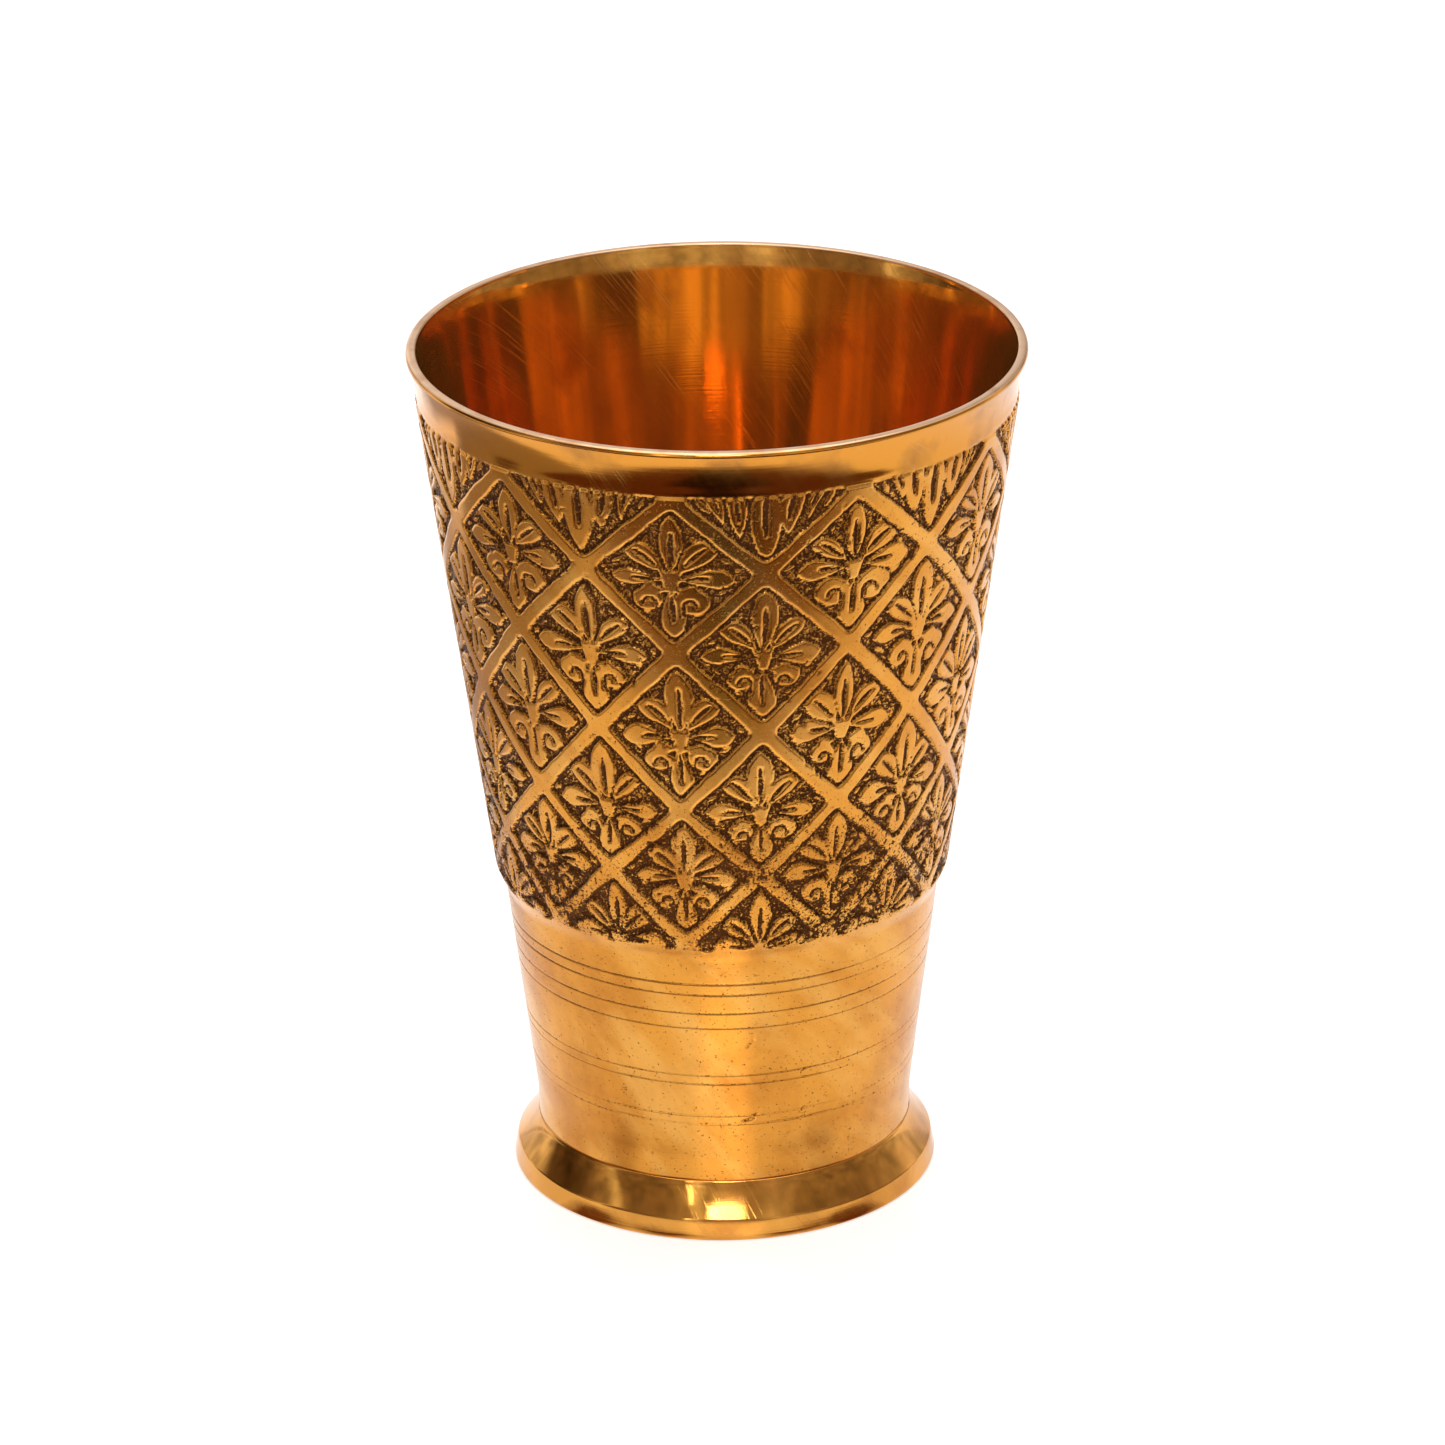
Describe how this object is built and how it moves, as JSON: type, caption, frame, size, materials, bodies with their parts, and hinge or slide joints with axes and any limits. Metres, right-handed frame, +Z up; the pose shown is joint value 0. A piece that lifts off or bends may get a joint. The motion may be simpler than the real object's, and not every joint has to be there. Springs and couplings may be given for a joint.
{
  "type": "footed brass tumbler",
  "caption": "Footed drinking tumbler in solid brass: tapered cup with a band of embossed diamonds, plain turned collar and flared polished foot ring.",
  "frame": {"origin": "centre of the face that the foot ring rests on", "axes": "+Z up along the tumbler's axis of revolution; -Y is the front"},
  "size_m": [0.085, 0.085, 0.122],
  "materials": {
    "cast_brass": "cast, chased and turned; satin high faces, dark patina in the chased ground",
    "polished_brass": "turned and buffed bright",
    "sheet_brass": "rolled sheet, dull",
    "brazing_filler": "as brazed, uneven"
  },
  "bodies": {
    "root": {"body": "cast_brass", "foot_ring": "polished_brass", "floor_disc": "sheet_brass", "foot_braze": "brazing_filler", "floor_braze": "brazing_filler"}
  },
  "joints": []
}
